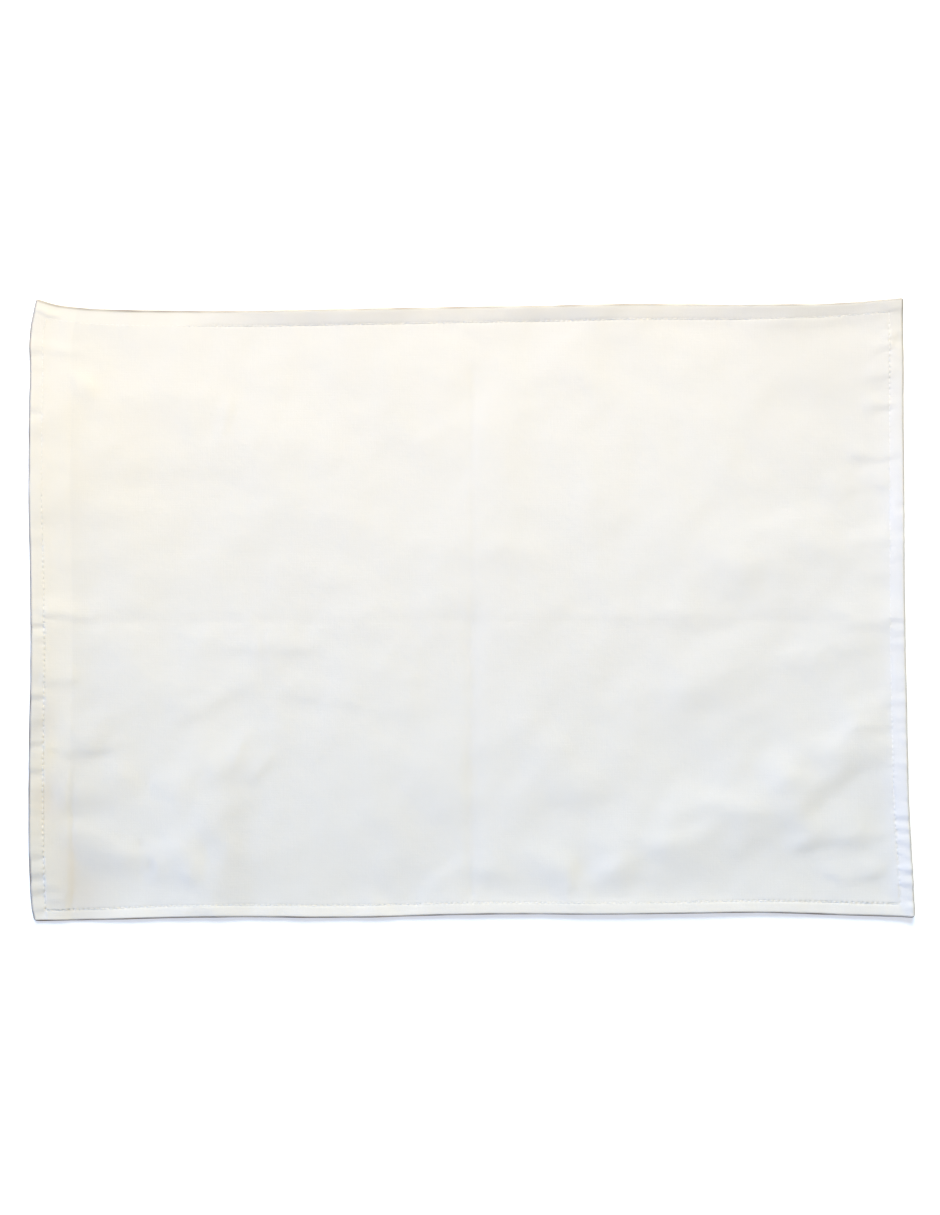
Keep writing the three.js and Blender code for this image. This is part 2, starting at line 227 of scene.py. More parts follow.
# Tucks: narrow nips that the stitching pulls across a hem, placed by where they lie along it. A tuck
# slants a little and is wider on one side, by its lean. Its end and fade are shares of the inset of
# the seam.
Tuck = namedtuple("Tuck", "side along width depth")
tucks = [
    Tuck("left", 148, 1.8, 0.2),
    Tuck("left", 138, 1.6, 0.2),
    Tuck("left", 114, 1.6, 0.3),
    Tuck("left", 100, 2.0, 0.15),
    Tuck("left", 37, 3.0, 0.3),
    Tuck("left", -9, 1.5, 0.55),
    Tuck("left", -18, 1.4, 0.3),
    Tuck("left", -40, 1.8, 0.25),
    Tuck("left", -50, 1.5, 0.5),
    Tuck("left", -66, 2.0, 0.35),
    Tuck("left", -77, 1.6, 0.5),
    Tuck("left", -93, 1.8, 0.5),
    Tuck("left", -142, 1.8, 0.5),
    Tuck("left", -153, 2.2, 0.55),
    Tuck("left", -162, 2.0, 0.6),
    Tuck("left", -172, 1.8, 0.4),
    Tuck("right", -8, 1.4, 0.3),
    Tuck("right", -98, 1.2, 0.25),
    Tuck("right", -109, 1.2, 0.3),
    Tuck("right", -121.5, 1.3, 0.45),
    Tuck("right", -128.5, 1.2, 0.5),
    Tuck("right", -136, 1.3, 0.5),
    Tuck("right", -142.5, 1.2, 0.5),
    Tuck("right", -147, 1.0, 0.25),
    Tuck("right", -151.5, 1.2, 0.4),
    Tuck("right", -160.5, 1.3, 0.5),
    Tuck("right", -166.5, 1.2, 0.35),
]
tuck_slant = 0.15
tuck_lean = 2.4
tuck_end = 1.15
tuck_fade = 0.3

# Small dents that are left in the face, two by the near left corner and one beside the left seam
Dent = namedtuple("Dent", "x y across up depth")
dents = [
    Dent(-187.0, -149.0, 2.2, 3.6, 0.42),
    Dent(-193.0, -136.0, 1.2, 1.6, 0.12),
    Dent(-243.5, -83.5, 4.0, 1.2, 0.22),
]

# The cloth's general limpness at several sizes, how far the folds wander from their crests and swell,
# the ripples that the seams draw in, and the needle holes. Cloth that would stand off the table by
# less than the contact height lies on it.
Limpness = namedtuple("Limpness", "size height layer")
limpness = [
    Limpness(62.0, 0.70, 3.0),
    Limpness(27.0, 0.50, 5.0),
    Limpness(13.0, 0.20, 7.0),
    Limpness(7.0, 0.06, 9.0),
]
table_contact = 0.35
Wander = namedtuple("Wander", "size reach layer")
wanders = [Wander(24.0, 1.8, 31.0), Wander(9.0, 0.7, 33.0)]
full_wander_width = 18.0
swell_size = 19.0
swell_layer = 35.0
swell_share = 0.30
ripple_size = 4.6
ripple_stretch = 4.0
ripple_layer = 11.0
ripple_height = 0.16
ripple_reach = 14.0
hole_depth = 0.52
hole_along = 0.5
hole_across = 0.45


def smooth_read(rows, place, column, values):
    """A smooth line through one column of a table, read at many places at once."""
    places = np.array([getattr(row, place) for row in rows], dtype=float)
    heights = np.array([getattr(row, column) for row in rows], dtype=float)
    slopes = np.gradient(heights, places)
    values = np.clip(values, places[0], places[-1])
    row = np.clip(np.searchsorted(places, values) - 1, 0, len(places) - 2)
    gap = places[row + 1] - places[row]
    share = (values - places[row]) / gap
    square = share**2
    cube = share**3
    return (
        (2 * cube - 3 * square + 1) * heights[row]
        + (cube - 2 * square + share) * slopes[row] * gap
        + (3 * square - 2 * cube) * heights[row + 1]
        + (cube - square) * slopes[row + 1] * gap
    )


def smooth_step(values):
    """A soft change from 0 to 1, as the values go from 0 to 1."""
    share = np.clip(values, 0.0, 1.0)
    return share * share * (3 - 2 * share)


def uneven(x, y, size, layer):
    """Soft noise, about -1 to 1, the same on every run."""
    return np.array([2 * noise.noise(Vector((px / size, py / size, layer))) for px, py in zip(x, y)])


def oval(x, y, spot):
    """How strong an oval spot is at each point: 1 in its middle, fading out across and up."""
    return np.exp(-(((x - spot.x) / spot.across) ** 2) - ((y - spot.y) / spot.up) ** 2)


def hem_places(u, v):
    """For each side's name: how far in from that edge the points lie, and where along it."""
    return {
        "far": (half_width - v, u),
        "near": (half_width + v, u),
        "left": (half_length + u, v),
        "right": (half_length - u, v),
    }


def round_corners(u, v):
    """Draws the four corners in, from square to the radius of each folded corner."""
    for (across, up), radius in corner_radius.items():
        side = 1 if across == "right" else -1
        end = 1 if up == "far" else -1
        over_u = side * u - (half_length - radius)
        over_v = end * v - (half_width - radius)
        inside = (over_u > 0) & (over_v > 0)
        length = np.maximum(np.hypot(over_u, over_v), 1e-9)
        share = np.maximum(over_u, over_v) / length
        u = np.where(inside, side * (half_length - radius + over_u * share), u)
        v = np.where(inside, end * (half_width - radius + over_v * share), v)
    return u, v


def place_on_cloth(u, v):
    """Places on the straight rectangle, moved so that its edges follow the real outline."""
    right = (u + half_length) / cloth_length
    far = (v + half_width) / cloth_width
    x = u - (1 - right) * smooth_read(left_edge, "along", "out", v)
    x = x + right * smooth_read(right_edge, "along", "out", v)
    y = v - (1 - far) * smooth_read(near_edge, "along", "out", u)
    y = y + far * smooth_read(far_edge, "along", "out", u)
    places = hem_places(u, v)
    inward = {}
    for side in sides:
        inset, along = places[side.name]
        share = np.minimum(inset / side.seam, 1 - smooth_step((inset - side.seam) / wide_reach))
        inward[side.name] = share * smooth_read(side.edge, "along", "wide", along)
    return x + inward["left"] - inward["right"], y + inward["near"] - inward["far"]


def crest_line(bends):
    """Points along a smooth curve through a crest's few bends."""
    bends = np.array(bends, dtype=float)
    last = len(bends) - 1
    places = np.linspace(0, last, crest_steps + 1)
    row = np.minimum(places.astype(int), last)
    share = (places - row)[:, None]
    before = bends[np.maximum(row - 1, 0)]
    start = bends[row]
    end = bends[np.minimum(row + 1, last)]
    after = bends[np.minimum(row + 2, last)]
    leaving = (end - before) / 2
    arriving = (after - start) / 2
    cube_part = (2 * start - 2 * end + leaving + arriving) * share**3
    square_part = (3 * end - 3 * start - 2 * leaving - arriving) * share**2
    return cube_part + square_part + leaving * share + start


def fold_lift(x, y, fold):
    """How high one fold lifts the cloth: a soft swell on both sides of its crest."""
    line = crest_line(fold.crest)
    reach = max(fold.lit, fold.shade)
    low = line.min(axis=0) - reach
    high = line.max(axis=0) + reach
    near = np.flatnonzero((x > low[0]) & (x < high[0]) & (y > low[1]) & (y < high[1]))
    nearest = np.full(len(near), np.inf)
    run = np.zeros(len(near))
    side = np.zeros(len(near))
    length = 0.0
    for start, end in zip(line[:-1], line[1:]):
        way = end - start
        step = math.hypot(*way)
        offset_x = x[near] - start[0]
        offset_y = y[near] - start[1]
        along = np.clip((offset_x * way[0] + offset_y * way[1]) / step**2, 0, 1)
        distance = np.hypot(offset_x - along * way[0], offset_y - along * way[1])
        closer = distance < nearest
        nearest = np.where(closer, distance, nearest)
        run = np.where(closer, length + along * step, run)
        side = np.where(closer, way[0] * offset_y - way[1] * offset_x, side)
        length += step
    out = np.minimum(nearest / np.where(side > 0, fold.lit, fold.shade), 1)
    swell = (1 + np.cos(math.pi * out)) / 2
    if fold.sharp < 0:
        swell = swell - fold.sharp * ((1 - out) ** 2 - swell)
    else:
        swell = np.where(side > 0, swell, swell + fold.sharp * (1 - out**2 - swell))
    fade = smooth_step(run / fold.starts) * smooth_step((length - run) / fold.ends)
    lift = np.zeros(len(x))
    lift[near] = fold.height * swell * fade
    return lift


def crease_shares(x, y):
    """For each pressed crease, how near each point is to its bottom, from 0 to 1."""
    for crease in creases:
        across, along = (x, y) if crease.line == "x" else (y, x)
        starting = smooth_step((along - crease.start) / crease_fade)
        ending = smooth_step((crease.end - along) / crease_fade)
        yield crease, np.maximum(0, 1 - np.abs(across - crease.at) / crease.reach) * starting * ending


def face_sink(x, y):
    """How far the pressed creases and the small dents sink the face."""
    sink = np.zeros(len(x))
    for crease, share in crease_shares(x, y):
        sink += crease.depth * share
    for dent in dents:
        sink += dent.depth * oval(x, y, dent)
    return sink


def hem_heights(u, v):
    """What the hems add to the single layer, and the height of the lower face, from all four sides."""
    places = hem_places(u, v)
    rises = {}
    under = np.zeros(len(u))
    under_inside = np.zeros(len(u))
    inside_all = np.ones(len(u))
    for side in sides:
        inset, along = places[side.name]
        scaled = np.maximum(inset, 0) * model_seam / side.seam
        in_hem = np.minimum(scaled, hem_width)
        rise = smooth_read(hem_section, "inset", "top", in_hem) - cotton_thickness
        puff = smooth_read(side.edge, "along", "puff", along)
        rise = rise + puff * smooth_read(hem_section, "inset", "puff", in_hem)
        seat = smooth_read(side.edge, "along", "seat", along)
        rise = rise + seat * smooth_read(hem_section, "inset", "seat", in_hem)
        drop = smooth_read(side.edge, "along", "drop", along)
        past_hem = np.maximum(0, scaled - hem_width)
        rise = rise * np.exp(-past_hem / (slow_drop + (quick_drop - slow_drop) * drop))
        rises[side.name] = rise
        past_fold = smooth_step((scaled - hem_width) / inner_fold)
        under = np.maximum(under, (1 - past_fold) * smooth_read(hem_section, "inset", "under", in_hem))
        under_inside = np.maximum(under_inside, rise * past_fold)
        inside_all = inside_all * past_fold
    under = np.maximum(under, under_inside * inside_all)
    long_rise = np.maximum(rises["far"], rises["near"])
    short_rise = np.maximum(rises["left"], rises["right"])
    rise = np.maximum(long_rise, short_rise) + corner_stacking * np.minimum(long_rise, short_rise)
    return rise, under


def seam_ripples(u, v):
    """Ripples and tucks across the hems, strongest at the seam and gone a little way inside."""
    places = hem_places(u, v)
    height = np.zeros(len(u))
    for number, side in enumerate(sides):
        near = np.flatnonzero(places[side.name][0] < ripple_reach)
        inset = places[side.name][0][near]
        along = places[side.name][1][near]
        fade = smooth_step(1 - inset / ripple_reach) * smooth_read(side.edge, "along", "ripple", along)
        ripple = uneven(along, inset / ripple_stretch, ripple_size, ripple_layer + number)
        height[near] += ripple_height * fade * ripple
        for tuck in tucks:
            if tuck.side == side.name:
                off = along - tuck.along - tuck_slant * (inset - side.seam)
                off = np.where(off > 0, off / tuck.width, off / tuck.width / tuck_lean)
                fade = smooth_step((tuck_end * side.seam - inset) / (tuck_fade * side.seam))
                height[near] -= tuck.depth * fade * np.exp(-(off**2))
    return height


def thread_pull(u, v):
    """How hard the thread pulls in by each point, from 0 to 1."""
    places = hem_places(u, v)
    pull = np.zeros(len(u))
    for side in sides:
        inset, along = places[side.name]
        close = np.abs(inset - side.seam) < 2 * seam_groove_width
        pull = np.where(close, smooth_read(side.edge, "along", "pull", along), pull)
    return pull


def needle_holes(u, v):
    """The groove along each seam, and the small pits in it where the thread goes down."""
    places = hem_places(u, v)
    pull = thread_pull(u, v)
    depth = np.zeros(len(u))
    for side in sides:
        inset, along = places[side.name]
        off = along - side.pitch * np.round(along / side.pitch)
        across = inset - side.seam
        pit = hole_depth * pull * np.exp(-((off / hole_along) ** 2) - (across / hole_across) ** 2)
        pit = pit + seam_groove * pull**2 * np.exp(-((across / seam_groove_width) ** 2))
        for other in side.meets:
            pit = np.where(places[other][0] > seam_inset[other] - hole_across, pit, 0)
        depth = np.maximum(depth, pit)
    return depth


def cloth_lift(x, y):
    """How far the cloth stands off the table: its folds, a little uneven, and its limpness."""
    bend_x = sum(wander.reach * uneven(x, y, wander.size, wander.layer) for wander in wanders)
    bend_y = sum(wander.reach * uneven(y, x, wander.size, wander.layer) for wander in wanders)
    lift = np.zeros(len(x))
    for fold in folds:
        share = min(1.0, fold.lit / full_wander_width)
        lift += fold_lift(x + share * bend_x, y + share * bend_y, fold)
    lift = lift * (1 + swell_share * uneven(x, y, swell_size, swell_layer))
    for wave in limpness:
        lift = lift + wave.height * (1 + np.clip(uneven(x, y, wave.size, wave.layer), -1, 1)) / 2
    return np.maximum(lift - table_contact, 0)


def lay_cloth(u, v, holes=True):
    """Where points of the flat panel come to lie: x, y, the lower face and the upper face."""
    x, y = place_on_cloth(u, v)
    lift = cloth_lift(x, y)
    rise, under = hem_heights(u, v)
    from_left = u + half_length
    doubled = smooth_step((allowance_width + allowance_edge / 2 - from_left) / allowance_edge)
    past_allowance = np.maximum(0, from_left - allowance_width)
    past_step = layer_step * (1 - doubled) * np.exp(-past_allowance / layer_settling)
    in_allowance = doubled * smooth_step((from_left - seam_inset["left"]) / allowance_onset)
    under = np.maximum(under * (1 - in_allowance), past_step)
    top = cotton_thickness + np.maximum(rise, in_allowance * layer_step + past_step)
    top = top - face_sink(x, y) + seam_ripples(u, v)
    if holes:
        top = top - needle_holes(u, v)
    return x, y, lift + under, lift + np.maximum(top, under + least_thickness)


# The mesh lines lie close together in the hems, and one stitch apart between them. They have whole
# numbers, so half a line tells one from the next, and the first and last are the rim's. The seam
# lines, and the places where a narrow fold is more than barely there, are cut finer.
hem_mesh_insets = (0.6, 1.0, 1.6, 2.4, 3.4, 4.6, 5.8, 6.7, 7.1, 7.5, 7.9, 8.4, 9.2, 10.6, 12.2)
seam_lines = (7, 12)
hem_lines = len(hem_mesh_insets)
stitch_cells_across = 160
stitch_cells_up = 104
centre_crease_lines = (-1.5, 1.5)
allowance_line = -229.0
fold_crease_lines = (-7.5, -5.1)
rim_cuts = 4
half_line = 0.5
line_weight = 1e5
rim_slack = 0.01
narrow_shade = 15.0
narrow_height = 0.24
barely_there = 0.03


def mesh_lines(half, low_seam, high_seam, pitch, cells, extra):
    """Where the mesh lines of one direction lie."""
    low = [-half + inset * low_seam / model_seam for inset in hem_mesh_insets]
    high = [half - inset * high_seam / model_seam for inset in hem_mesh_insets]
    middle = [pitch * (cell - cells / 2) for cell in range(cells + 1)]
    return np.array(sorted(low + middle + high + list(extra)))


lines_across = mesh_lines(
    half_length, seam_inset["left"], seam_inset["right"], sides[0].pitch, stitch_cells_across,
    (*centre_crease_lines, allowance_line),
)
lines_up = mesh_lines(
    half_width, seam_inset["near"], seam_inset["far"], sides[2].pitch, stitch_cells_up,
    fold_crease_lines,
)
last_lines = (len(lines_across) - 1, len(lines_up) - 1)


def flat_places_of(columns, rows):
    """From line numbers to places on the flat rectangle."""
    return (
        np.interp(columns, range(len(lines_across)), lines_across),
        np.interp(rows, range(len(lines_up)), lines_up),
    )


def runs_along_a_hem(edge, first_line, last_line):
    """True for the mesh edges between the corners that run along a hem, on certain of its lines."""
    start, end = (vert.co for vert in edge.verts)
    if abs(start.z - end.z) > half_line:
        return False
    along, across = (0, 1) if abs(start.x - end.x) > abs(start.y - end.y) else (1, 0)
    between = min(start[along], end[along]) > hem_lines - half_line
    between = between and max(start[along], end[along]) < last_lines[along] - hem_lines + half_line
    from_edge = min(start[across], last_lines[across] - start[across])
    on_face = start.z > half_line and first_line - half_line < from_edge < last_line + half_line
    return between and (on_face or (first_line == 0 and from_edge < half_line))


def reading_order(place):
    """One number that grows along each row, from row to row and from the lower face to the upper."""
    return (place.z * line_weight + place.y) * line_weight + place.x


cloth_form = bmesh.new()
bmesh.ops.create_grid(cloth_form, x_segments=last_lines[0], y_segments=last_lines[1], size=1.0)
bmesh.ops.translate(cloth_form, vec=(1, 1, 0), verts=cloth_form.verts[:])
bmesh.ops.scale(cloth_form, vec=(last_lines[0] / 2, last_lines[1] / 2, 1), verts=cloth_form.verts[:])
upper = bmesh.ops.extrude_face_region(cloth_form, geom=cloth_form.faces[:], use_keep_orig=True)
upper_points = [part for part in upper["geom"] if isinstance(part, bmesh.types.BMVert)]
bmesh.ops.translate(cloth_form, vec=(0, 0, 1), verts=upper_points)

# The upper face is cut finer where narrow folds cross it, along the hems, and again at the seams
upper_columns, upper_rows = np.array([(point.co.x, point.co.y) for point in upper_points]).T
place_x, place_y = place_on_cloth(*flat_places_of(upper_columns, upper_rows))
narrow = [fold for fold in folds if fold.shade < narrow_shade and abs(fold.height) > narrow_height]
presence = sum(fold_lift(place_x, place_y, fold._replace(height=1)) for fold in narrow)
on_fold = presence > barely_there
by_fold = {point for point, near in zip(upper_points, on_fold) if near}
to_cut = [edge for edge in cloth_form.edges if by_fold.issuperset(edge.verts)]
to_cut += [edge for edge in cloth_form.edges if runs_along_a_hem(edge, 0, hem_lines)]
bmesh.ops.subdivide_edges(cloth_form, edges=list(set(to_cut)), cuts=1, use_grid_fill=True)
to_cut = [edge for edge in cloth_form.edges if runs_along_a_hem(edge, *seam_lines)]
bmesh.ops.subdivide_edges(cloth_form, edges=to_cut, cuts=1, use_grid_fill=True)
upright = [edge for edge in cloth_form.edges if abs(edge.verts[0].co.z - edge.verts[1].co.z) > half_line]
bmesh.ops.subdivide_edges(cloth_form, edges=upright, cuts=rim_cuts, use_grid_fill=True)
many_sided = [face for face in cloth_form.faces if len(face.verts) > 4]
bmesh.ops.triangulate(cloth_form, faces=many_sided)
bmesh.ops.recalc_face_normals(cloth_form, faces=cloth_form.faces[:])

# The cuts leave the parts in an order that changes from run to run, so they are put in order
cloth_form.verts.sort(key=lambda vert: reading_order(vert.co))
cloth_form.edges.sort(key=lambda edge: reading_order(edge.verts[0].co + edge.verts[1].co))
cloth_form.faces.sort(key=lambda face: reading_order(face.calc_center_median()))

cloth_mesh = bpy.data.meshes.new("cotton_panel")
cloth_form.to_mesh(cloth_mesh)
cloth_form.free()
line_numbers = np.empty(len(cloth_mesh.vertices) * 3)
cloth_mesh.vertices.foreach_get("co", line_numbers)
column, row, level = line_numbers.reshape(-1, 3).T
flat_u, flat_v = flat_places_of(column, row)
bulge = hem_mesh_insets[0] * np.sqrt(np.clip(1 - (2 * level - 1) ** 2, 0, 1))
flat_u = flat_u + bulge * ((column > last_lines[0] - rim_slack) * 1.0 - (column < rim_slack) * 1.0)
flat_v = flat_v + bulge * ((row > last_lines[1] - rim_slack) * 1.0 - (row < rim_slack) * 1.0)
flat_u, flat_v = round_corners(flat_u, flat_v)
cloth_x, cloth_y, cloth_under, cloth_top = lay_cloth(flat_u, flat_v)
cloth_z = cloth_under + (cloth_top - cloth_under) * level
cloth_points = np.stack([cloth_x, cloth_y, cloth_z], axis=1) * MM
cloth_mesh.vertices.foreach_set("co", cloth_points.ravel())
cloth_mesh.update()
cloth_mesh.shade_smooth()

# How many layers of cotton lie at each point, for the fuller white of the doubled cloth. The turned
# layers end a little past the seam.
layer_edge = 0.8
past_seam = 1.0
most_layers = 4
flat_places = hem_places(flat_u, flat_v)
layers = 1 + smooth_step((allowance_width + layer_edge / 2 - flat_places["left"][0]) / layer_edge)
for side in sides:
    layers = layers + 2 * smooth_step((side.seam + past_seam - flat_places[side.name][0]) / layer_edge)

# Painted shade and light, as ovals that fade out. A grey mark is painted shade where folds, slopes and
# small dents would shade the cloth, and below zero it is painted light. A yellow mark is painted warm
# shade, where less of the cool light falls. Beside the doubled strip on the left the single cloth gets
# painted shade past its step, and by the near left corner faint tan tints are painted shade. The
# folded edges are painted dark all round, a painted contact shadow, here more and there less.
Mark = namedtuple("Mark", "x y across up grey yellow")
marks = [
    Mark(-187.0, -149.0, 2.6, 4.0, 0.8, 0.0),
    Mark(-193.0, -136.0, 1.6, 2.0, 0.5, 0.0),
    Mark(-138.0, -155.0, 11.0, 26.0, 0.35, 0.0),
    Mark(-137.0, -112.0, 9.0, 28.0, 0.3, 0.0),
    Mark(-116.0, 22.0, 26.0, 22.0, 0.16, 0.0),
    Mark(21.0, 34.0, 12.0, 9.0, 0.18, 0.0),
    Mark(46.0, -20.0, 16.0, 26.0, 0.12, 0.0),
    Mark(150.0, -48.0, 26.0, 24.0, 0.14, 0.0),
    Mark(-34.0, -131.0, 24.0, 12.0, 0.22, 0.0),
    Mark(-104.0, -50.0, 22.0, 16.0, 0.12, 0.0),
    Mark(-52.0, 118.0, 22.0, 20.0, 0.14, 0.0),
    Mark(-256.0, -160.0, 14.0, 24.0, 0.6, 0.0),
    Mark(-232.0, -172.0, 12.0, 9.0, 0.8, 0.0),
    Mark(-222.0, -148.0, 18.0, 20.0, 0.6, 0.0),
    Mark(-256.0, -60.0, 14.0, 24.0, 0.9, 0.0),
    Mark(-257.0, -105.0, 7.0, 46.0, 0.5, 2.4),
    Mark(-226.0, -120.0, 24.0, 50.0, 0.4, 0.0),
    Mark(-110.0, -155.0, 80.0, 20.0, 0.3, 0.0),
    Mark(262.0, 50.0, 14.0, 120.0, 1.0, 0.0),
    Mark(-262.0, 80.0, 85.0, 95.0, 0.0, 0.5),
    Mark(-264.0, -100.0, 28.0, 110.0, 0.0, 0.75),
    Mark(-249.0, -70.0, 9.0, 50.0, 0.0, 0.6),
    Mark(-158.0, -84.0, 20.0, 36.0, 0.0, 0.2),
    Mark(-245.0, -117.0, 8.0, 14.0, 0.0, 0.4),
    Mark(-238.0, -156.0, 15.0, 24.0, 0.0, 0.75),
    Mark(-243.0, -108.0, 10.0, 14.0, 0.5, 0.0),
    Mark(-218.0, -55.0, 14.0, 16.0, 0.45, 0.0),
    Mark(-216.0, -98.0, 18.0, 24.0, 0.0, 0.25),
    Mark(237.0, -10.0, 8.0, 110.0, 0.0, 0.12),
    Mark(20.0, 177.0, 250.0, 8.0, 0.0, 0.15),
    Mark(235.0, 150.0, 90.0, 70.0, 0.5, 0.0),
    Mark(-226.0, 124.0, 12.0, 26.0, -0.2, 0.0),
    Mark(-245.0, -82.0, 9.0, 8.0, -0.35, 0.0),
]
# Faint tan tints painted as shade: along the step of the doubled strip, and where the folds by the near
# left corner turn from the cool light
Tan = namedtuple("Tan", "x y across up share")
tans = [
    Tan(-248.0, -66.0, 7.0, 12.0, 0.3),
    Tan(-246.0, -112.0, 9.0, 14.0, 0.6),
    Tan(-235.0, -143.0, 8.0, 14.0, 0.45),
    Tan(-226.0, -166.0, 14.0, 14.0, 0.45),
    Tan(-232.3, -154.0, 2.2, 22.0, 0.38),
]
hem_yellow_share = 0.35
hem_yellow_edge = 2.0
# Painted shade on the single cloth just past the step of the doubled strip, fading inward
step_shade_grey = 0.3
beside_edge = 1.0
beside_reach = 12.0
# Painted contact shadow along the folded edges: how far in from each edge it reaches, and how dark it gets
# at most
RimShadow = namedtuple("RimShadow", "side reach most")
rim_shadows = [RimShadow("far", 1.8, 0.65), RimShadow("near", 1.6, 1.0), RimShadow("left", 1.6, 1.0), RimShadow("right", 1.5, 1.0)]
rim_shadow_size = 16.0
rim_shadow_layer = 41.0
rim_shadow_change = 0.35
rim_shadow_below = 0.3
# All the painted shade: along the creases, past the step of the doubled strip, and the grey marks
painted_shade = sum(crease.grey * share for crease, share in crease_shares(cloth_x, cloth_y))
past_allowance = flat_places["left"][0] - allowance_width
beside = smooth_step(past_allowance / beside_edge + 0.5)
beside = beside * np.exp(-np.maximum(past_allowance, 0) / beside_reach)
painted_shade += step_shade_grey * beside
# Painted warm shade, where less of the cool light falls
warm_painted_shade = np.zeros(len(cloth_x))
for mark in marks:
    strength = oval(cloth_x, cloth_y, mark)
    painted_shade += mark.grey * strength
    warm_painted_shade += mark.yellow * strength
tan_painted_shade = sum(tan.share * oval(cloth_x, cloth_y, tan) for tan in tans)
# The left hem itself gets less of the painted warm shade
on_left_hem = smooth_step((seam_inset["left"] + past_seam - flat_places["left"][0]) / hem_yellow_edge)
warm_painted_shade = warm_painted_shade * (1 - (1 - hem_yellow_share) * on_left_hem)
# The painted shadow on the rim, uneven along it and stronger on the rim's upper half
rim_shadow = np.maximum.reduce([
    rim_shade.most * smooth_step(1 - flat_places[rim_shade.side][0] / rim_shade.reach)
    for rim_shade in rim_shadows
])
rim_shadow = rim_shadow * (1 + rim_shadow_change * np.clip(uneven(cloth_x, cloth_y, rim_shadow_size, rim_shadow_layer), -1, 1))
rim_shadow = rim_shadow * (rim_shadow_below + (1 - rim_shadow_below) * smooth_step(2 * level - 1))
for name, amount, most in (
    ("layers", layers, most_layers), ("grey", painted_shade, 1), ("yellow", warm_painted_shade, 1),
    ("tan", tan_painted_shade, 1), ("rim_shade", rim_shadow, 1),
):
    attribute = cloth_mesh.attributes.new(name, "FLOAT", "POINT")
    attribute.data.foreach_set("value", np.minimum(amount, most).astype(np.float32))

cotton_cloth = bpy.data.objects.new("cotton_cloth", cloth_mesh)
bpy.context.collection.objects.link(cotton_cloth)

# White cotton: a plain weave with uneven threads, a little limpness, and a faint change of tone.
# Each thread is thicker here and thinner there, in stretches that lie along it.
thread_spacing = 0.42 * MM
weave_relief = 0.035 * MM
slub_relief = 0.04 * MM
warp_stretch = (1500, 70, 1)
weft_stretch = (70, 1500, 1)
limp_relief = 0.14 * MM
limp_scale = 160.0
limp_detail = 3.0
tone_scale = 13.0
single_tone = (0.775, 0.775, 0.768, 1)
washed_tone = (0.790, 0.786, 0.770, 1)
doubled_tone = (0.794, 0.786, 0.766, 1)
# Tones for painted light: grey for painted shade, a warm yellow for painted warm shade, tan for painted
# shade by the near left corner, and near black for the painted contact shadow on the rim
painted_shade_tone = (0.722, 0.714, 0.694, 1)
warm_shade_tone = (0.826, 0.776, 0.655, 1)
tan_shade_tone = (0.73, 0.672, 0.585, 1)
rim_shadow_tone = (0.088, 0.046, 0.018, 1)


def add_node(tree, kind, values=None, links=None, **settings):
    """A shader node with its settings, its socket values and the sockets that feed it."""
    node = tree.nodes.new(kind)
    for setting, value in settings.items():
        setattr(node, setting, value)
    for socket, value in (values or {}).items():
        node.inputs[socket].default_value = value
    for socket, source in (links or {}).items():
        tree.links.new(source, node.inputs[socket])
    return node


def fill_sockets(tree, node, values):
    """Gives a node's inputs, in order, a link where the value is a socket and a number where not."""
    for number, value in enumerate(values):
        if isinstance(value, bpy.types.NodeSocket):
            tree.links.new(value, node.inputs[number])
        else:
            node.inputs[number].default_value = value


def work_out(tree, operation, *values):
    """A Math node's result."""
    node = tree.nodes.new("ShaderNodeMath")
    node.operation = operation
    fill_sockets(tree, node, values)
    return node.outputs[0]


def cloud(tree, place, scale, detail=2.0, stretch=(1, 1, 1)):
    """Noise of one scale, stretched where the stretch says so."""
    stretched = add_node(tree, "ShaderNodeMapping", {"Scale": stretch}, {"Vector": place}).outputs[0]
    return add_node(
        tree, "ShaderNodeTexNoise", {"Scale": scale, "Detail": detail}, {"Vector": stretched}
    ).outputs["Fac"]


def blend_tones(tree, share, first, second):
    """A colour between two, each given as a colour or a socket."""
    node = tree.nodes.new("ShaderNodeMix")
    node.data_type = "RGBA"
    tree.links.new(share, node.inputs["Factor"])
    for name, tone in (("A_Color", first), ("B_Color", second)):
        socket = next(socket for socket in node.inputs if socket.identifier == name)
        if isinstance(tone, bpy.types.NodeSocket):
            tree.links.new(tone, socket)
        else:
            socket.default_value = tone
    return next(socket for socket in node.outputs if socket.identifier == "Result_Color")


def plain_weave(tree, place, spacing):
    """Height of a plain weave: two sets of threads that go over and under each other in turn."""
    split = add_node(tree, "ShaderNodeSeparateXYZ", links={0: place})
    wave_x = work_out(tree, "SINE", work_out(tree, "MULTIPLY", split.outputs["X"], math.pi / spacing))
    wave_y = work_out(tree, "SINE", work_out(tree, "MULTIPLY", split.outputs["Y"], math.pi / spacing))
    turn = work_out(tree, "MULTIPLY", wave_x, wave_y)
    warp_height = work_out(tree, "MULTIPLY_ADD", turn, 0.5, 0.5)
    weft_height = work_out(tree, "MULTIPLY_ADD", turn, -0.5, 0.5)
    warp = work_out(tree, "MULTIPLY", work_out(tree, "ABSOLUTE", wave_x), warp_height)
    weft = work_out(tree, "MULTIPLY", work_out(tree, "ABSOLUTE", wave_y), weft_height)
    return work_out(tree, "MAXIMUM", warp, weft)


def empty_material(name):
    """A material with nothing in its node tree yet, and the tree."""
    material = bpy.data.materials.new(name)
    material.use_nodes = True
    material.node_tree.nodes.clear()
    return material, material.node_tree


